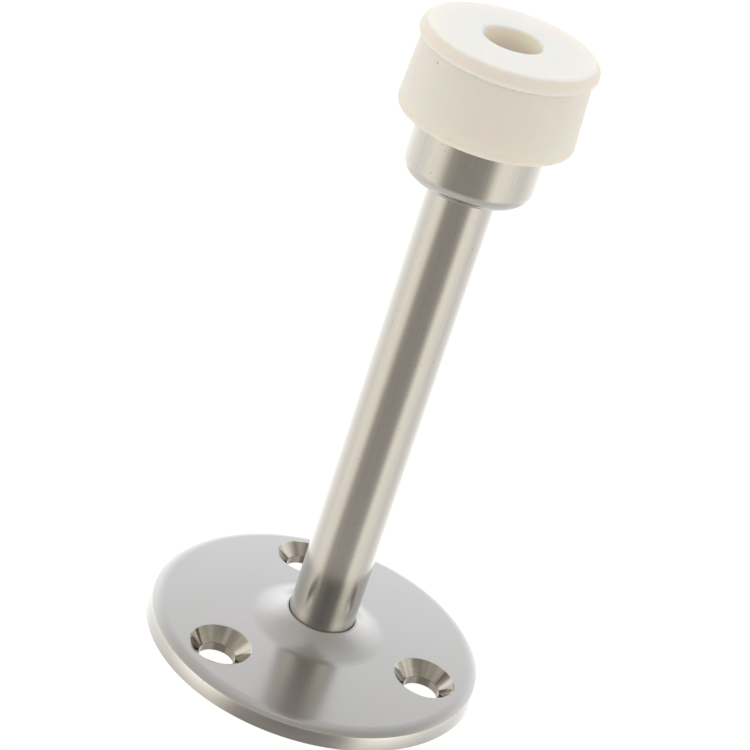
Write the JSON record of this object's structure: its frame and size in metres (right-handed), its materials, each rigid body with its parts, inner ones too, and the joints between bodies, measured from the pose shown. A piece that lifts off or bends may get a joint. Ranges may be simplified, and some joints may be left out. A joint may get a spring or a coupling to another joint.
{
  "type": "door stop",
  "caption": "Wall-mounted projection door stop: round countersunk wall plate, straight tubular stem, metal cup and rubber buffer.",
  "frame": {"origin": "centre of the wall plate's back face", "axes": "+Z out from the wall along the stem to the buffer; +Y through one of the plate's screw holes"},
  "size_m": [0.051, 0.051, 0.1],
  "materials": {
    "plate_steel": "satin, fine brushing",
    "tube_steel": "satin, brushed along the stem",
    "cup_steel": "satin",
    "buffer_rubber": "cream-white, matte, slightly translucent",
    "plug_brass": "turned",
    "zinc_steel": "bright zinc plate"
  },
  "bodies": {
    "stop": {"base_plate": "plate_steel", "stem_tube": "tube_steel", "lower_plug": "plug_brass", "upper_plug": "plug_brass", "base_screw": "zinc_steel", "buffer_cup": "cup_steel", "buffer_washer": "zinc_steel", "buffer_screw": "zinc_steel"},
    "rubber": {"buffer": "buffer_rubber"}
  },
  "joints": [
    {"name": "buffer_press", "type": "slide", "parent": "stop", "child": "rubber", "axis": [0, 0, -1], "range_m": [0, 0.002], "stiffness_N_per_m": 120000, "deforming": ["buffer"]}
  ]
}
